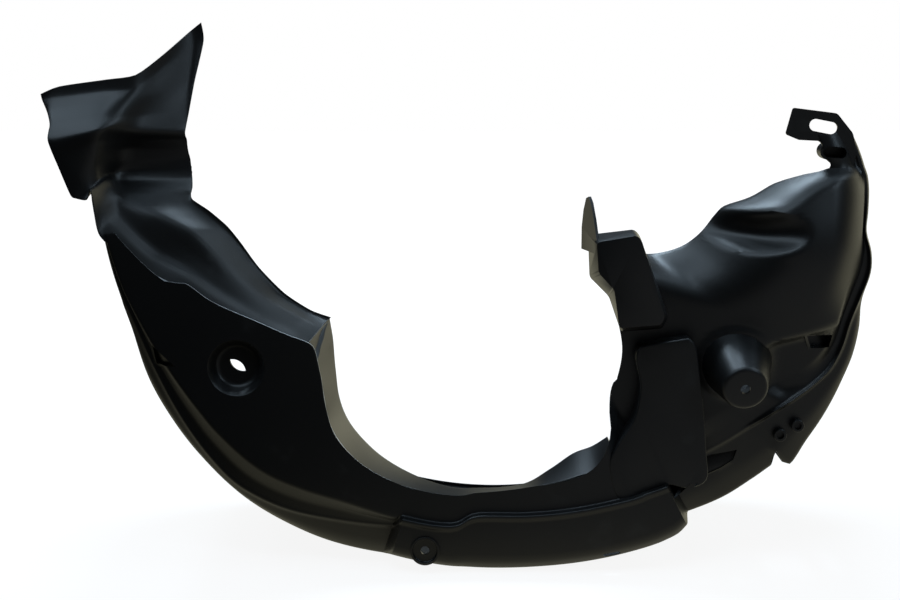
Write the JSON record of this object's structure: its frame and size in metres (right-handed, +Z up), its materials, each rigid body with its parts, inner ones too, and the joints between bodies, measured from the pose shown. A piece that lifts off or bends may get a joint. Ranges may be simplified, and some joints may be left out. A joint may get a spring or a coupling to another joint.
{
  "type": "wheel arch liner",
  "caption": "Moulded plastic wheel arch liner with a hub opening, arched skirt, side wing, screw bosses and a top bracket.",
  "frame": {"origin": "on the floor, under the middle of the part's box, with the arch lying crown down as in the picture", "axes": "+X along the arch to the bracket end, +Y outboard along the wheel's axle, away from the face, +Z up from the crown"},
  "size_m": [0.7829, 0.286, 0.502],
  "materials": {
    "liner_plastic": "satin black"
  },
  "bodies": {
    "root": {"liner": "liner_plastic"}
  },
  "joints": []
}
